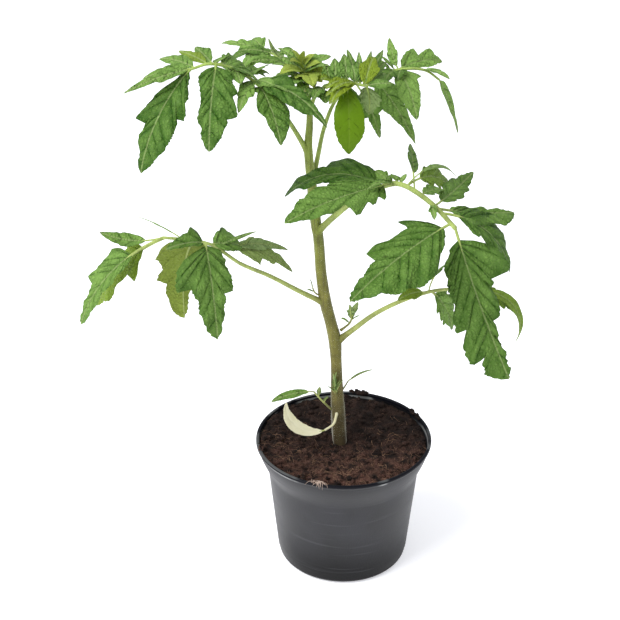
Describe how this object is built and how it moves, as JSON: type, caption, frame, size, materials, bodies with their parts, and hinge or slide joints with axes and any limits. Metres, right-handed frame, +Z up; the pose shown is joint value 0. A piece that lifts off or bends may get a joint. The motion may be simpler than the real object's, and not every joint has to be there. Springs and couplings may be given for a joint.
{
  "type": "potted tomato plant",
  "caption": "Young tomato plant with an upright hairy stem and arching compound leaves of toothed leaflets, in a round flared nursery pot filled with peat.",
  "frame": {"origin": "middle of the pot's underside, on the plane that its foot ring and centre pad stand on", "axes": "+Z up along the pot's axis, -Y to the front where the withered seed leaf is, +X to the right of the front"},
  "size_m": [0.3094, 0.1747, 0.4032],
  "materials": {
    "pot_plastic": "dark grey injection moulded plastic, slightly scuffed, with a soft sheen",
    "peat": null,
    "stem": "green stem, brownish purple near the soil, with short pale hairs",
    "leaf": "green leaf, finely hairy, darker above with pale veins, paler and bluish beneath",
    "young_leaf": "yellow-green young growth",
    "withered_leaf": "dried cream seed leaf, thin and curled"
  },
  "bodies": {
    "root": {"pot": "pot_plastic", "soil": "peat", "main_stem": "stem", "leaf_low_right": "leaf", "leaf_low_left": "leaf", "leaf_mid_right": "leaf", "leaf_top_left": "leaf", "leaf_top_right": "leaf", "leaf_top_front": "leaf", "leaf_top_back": "leaf", "shoot_tip": "young_leaf", "axil_shoot_right": "leaf", "axil_shoot_left": "leaf", "basal_shoot_left": "leaf", "basal_shoot_right": "leaf", "basal_shoot_front": "leaf", "seed_leaf": "withered_leaf"}
  },
  "joints": []
}
